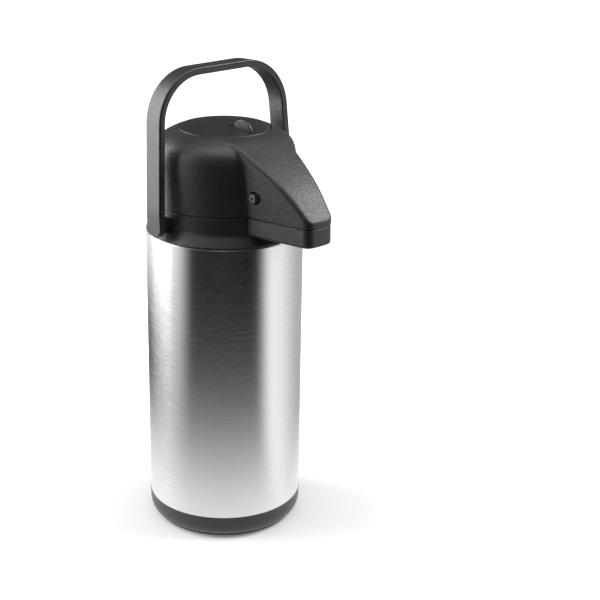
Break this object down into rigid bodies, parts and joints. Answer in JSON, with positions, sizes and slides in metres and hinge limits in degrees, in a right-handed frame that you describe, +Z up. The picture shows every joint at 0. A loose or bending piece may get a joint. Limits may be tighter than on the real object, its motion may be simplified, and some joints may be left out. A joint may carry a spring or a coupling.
{
  "type": "airpot",
  "caption": "Steel vacuum airpot with a black pump lid, a tapering spout beak, a carrying handle, a lock slider and side release buttons.",
  "frame": {"origin": "centre of the round resting face under the foot pad", "axes": "+Z up the body's axis; the spout points to -Y and the lid's hinge is at +Y; the handle's pivots are on the X axis's direction"},
  "size_m": [0.1718, 0.2161, 0.4672],
  "materials": {
    "steel": "brushed around, satin",
    "liner": "drawn, semi bright",
    "base": "satin, fine grain",
    "shell": "satin, fine grain",
    "handle": "satin, fine grain",
    "plate": "satin, fine grain",
    "button": "satin",
    "inner": "smooth",
    "clear": "milky, smooth",
    "rubber": "matt",
    "silicone": "matt",
    "bellows": "matt",
    "pin": "bright drawn",
    "washer": "smooth"
  },
  "bodies": {
    "body": {"outer_shell": "steel", "inner_liner": "liner", "bottom_plate": "liner", "base_cap": "base", "foot_pad": "rubber", "collar": "shell", "neck_seal": "rubber", "tube_seat": "inner", "dip_tube": "clear", "hinge_pin": "pin", "pivot_pins": "pin", "pivot_washers": "washer"},
    "lid": {"head_cover": "shell", "lid_plate": "inner", "lid_screws": "pin", "lid_plug": "inner", "lid_gasket": "silicone", "outlet_pipe": "clear", "pipe_seal": "silicone", "nozzle": "shell", "pump_base": "inner", "bellows": "bellows", "bellows_spring": "pin", "button_spring_left": "pin", "button_spring_right": "pin"},
    "release_button_left": {"release_button_left": "button"},
    "release_button_right": {"release_button_right": "button"},
    "pump": {"pump_plate": "plate", "air_valve": "rubber"},
    "lock_slider": {"lock_slider": "plate"},
    "handle": {"handle": "handle"}
  },
  "joints": [
    {"name": "handle_swing", "type": "hinge", "parent": "body", "child": "handle", "pos_m": [0, 0.0029, 0.322], "axis": [1, 0, 0], "range_deg": [-86, 77]},
    {"name": "lid_hinge", "type": "hinge", "parent": "body", "child": "lid", "pos_m": [0, 0.075, 0.3355], "axis": [-1, 0, 0], "range_deg": [0, 28]},
    {"name": "pump_slide", "type": "slide", "parent": "lid", "child": "pump", "axis": [0, 0, 1], "range_m": [-0.022, 0], "stiffness_N_per_m": 300, "springref_m": 0.02, "deforming": ["bellows", "bellows_spring"]},
    {"name": "lock_slide", "type": "slide", "parent": "pump", "child": "lock_slider", "axis": [0, 1, 0], "range_m": [0, 0.003]},
    {"name": "release_left", "type": "slide", "parent": "lid", "child": "release_button_left", "axis": [1, 0, 0], "range_m": [0, 0.003], "stiffness_N_per_m": 400, "springref_m": -0.002, "deforming": ["button_spring_left"]},
    {"name": "release_right", "type": "slide", "parent": "lid", "child": "release_button_right", "axis": [-1, 0, 0], "range_m": [0, 0.003], "stiffness_N_per_m": 400, "springref_m": -0.002, "deforming": ["button_spring_right"]}
  ]
}
